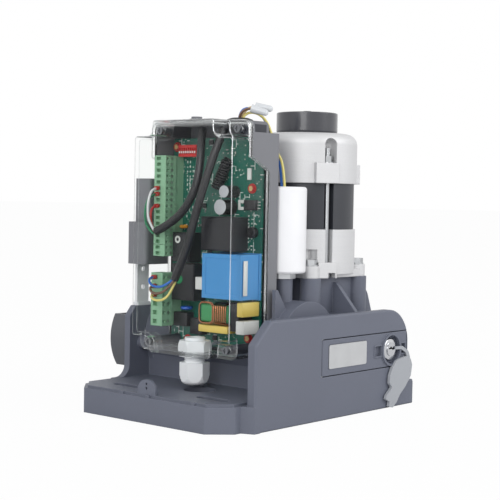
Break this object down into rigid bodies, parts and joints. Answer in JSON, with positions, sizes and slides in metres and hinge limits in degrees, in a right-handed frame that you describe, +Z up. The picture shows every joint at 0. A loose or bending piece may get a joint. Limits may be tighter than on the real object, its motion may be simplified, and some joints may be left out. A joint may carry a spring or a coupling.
{
  "type": "sliding gate motor",
  "caption": "Sliding gate motor on a ledged base: clear-fronted control box, upright motor with worm drive, guarded rack pinion, and a keyed release door.",
  "frame": {"origin": "middle of the base face, on the surface it is bolted to", "axes": "+Z up, +X from the cable ledge to the motor end, +Y towards the gate and its rack"},
  "size_m": [0.25, 0.2275, 0.2633],
  "materials": {
    "housing_paint": "satin textured",
    "box_grey": "satin",
    "clear_plastic": "clear polycarbonate",
    "cast_aluminium": "as cast",
    "black_lamination": "satin",
    "black_plastic": "glossy",
    "black_rubber": "matte",
    "grey_rubber": "matte",
    "white_plastic": "satin",
    "zinc_steel": "zinc plated",
    "gear_steel": "machined",
    "bronze": "machined bronze",
    "copper": "enamelled wire",
    "chrome": "polished",
    "brushed_plate": "brushed",
    "board_green": "solder mask",
    "terminal_green": "satin",
    "switch_red": "satin",
    "transformer_blue": "satin",
    "cap_yellow": "satin",
    "wire_mixed": "satin"
  },
  "bodies": {
    "housing": {"base_housing": "housing_paint", "gearbox_cover": "cast_aluminium", "gearbox_screws": "zinc_steel", "output_oil_seal": "black_rubber", "output_bearings": "gear_steel", "pinion_guard": "housing_paint", "motor_bearings": "gear_steel", "lower_shield": "cast_aluminium", "stator_core": "black_lamination", "stator_windings": "copper", "upper_shield": "cast_aluminium", "tie_rods": "zinc_steel", "tie_rod_nuts": "zinc_steel", "flange_bolts": "zinc_steel", "motor_cap": "black_plastic", "capacitor": "white_plastic", "capacitor_nut": "zinc_steel", "clear_cover": "clear_plastic", "control_box_back": "box_grey", "cover_gasket": "black_rubber", "cover_screws": "zinc_steel", "bracket_screws": "zinc_steel", "cable_gland_body": "white_plastic", "cable_gland_locknut": "white_plastic", "cable_gland_nut": "white_plastic", "cable_gland_seal": "black_rubber", "top_grommet": "black_rubber", "top_boss_screw": "box_grey", "circuit_board": "board_green", "board_screws": "bronze", "upper_terminals": "terminal_green", "lower_terminals": "terminal_green", "dip_switch": "switch_red", "board_transformer": "transformer_blue", "relays": "black_plastic", "noise_choke": "copper", "electrolytic_capacitors": "black_plastic", "small_board_parts": "cap_yellow", "control_cable": "black_rubber", "supply_cable": "black_rubber", "cable_wires": "wire_mixed", "wire_ferrules": "switch_red", "top_wires": "wire_mixed", "wire_connectors": "white_plastic", "door_hinge_pin": "zinc_steel", "limit_sensor": "box_grey", "limit_sensor_bracket": "zinc_steel"},
    "output_drive": {"output_shaft": "gear_steel", "worm_wheel": "bronze", "drive_pinion": "gear_steel", "pinion_bolt": "zinc_steel"},
    "motor_rotor": {"worm_shaft": "gear_steel", "rotor_core": "black_lamination"},
    "door": {"release_door": "housing_paint", "label_plate": "brushed_plate", "lock_barrel": "chrome"},
    "key_plug": {"lock_plug": "chrome"},
    "lid": {"lock_cap": "grey_rubber"},
    "release_bar": {"release_rod": "gear_steel"}
  },
  "joints": [
    {"name": "drive_spin", "type": "hinge", "parent": "housing", "child": "output_drive", "pos_m": [0.0035, 0.03, 0.053], "axis": [0, 1, 0], "continuous": true},
    {"name": "rotor_spin", "type": "hinge", "parent": "housing", "child": "motor_rotor", "pos_m": [0.05, -0.0215, 0.1], "axis": [0, 0, 1], "continuous": true},
    {"name": "door_swing", "type": "hinge", "parent": "housing", "child": "door", "pos_m": [-0.01, -0.089, 0.052], "axis": [0, 0, -1], "range_deg": [0, 90]},
    {"name": "release_slide", "type": "slide", "parent": "housing", "child": "release_bar", "axis": [0, -1, 0], "range_m": [0, 0.004]},
    {"name": "key_turn", "type": "hinge", "parent": "door", "child": "key_plug", "pos_m": [0.0875, -0.09, 0.0518], "axis": [0, 1, 0], "range_deg": [0, 90]},
    {"name": "lid_swing", "type": "hinge", "parent": "door", "child": "lid", "pos_m": [0.0875, -0.094, 0.0518], "axis": [0, 1, 0], "range_deg": [-30, 60]}
  ],
  "couplings": [
    {"joint": "rotor_spin", "follows": "drive_spin", "ratio": 32},
    {"joint": "release_slide", "follows": "door_swing", "m_per_rad": 0.002546}
  ]
}
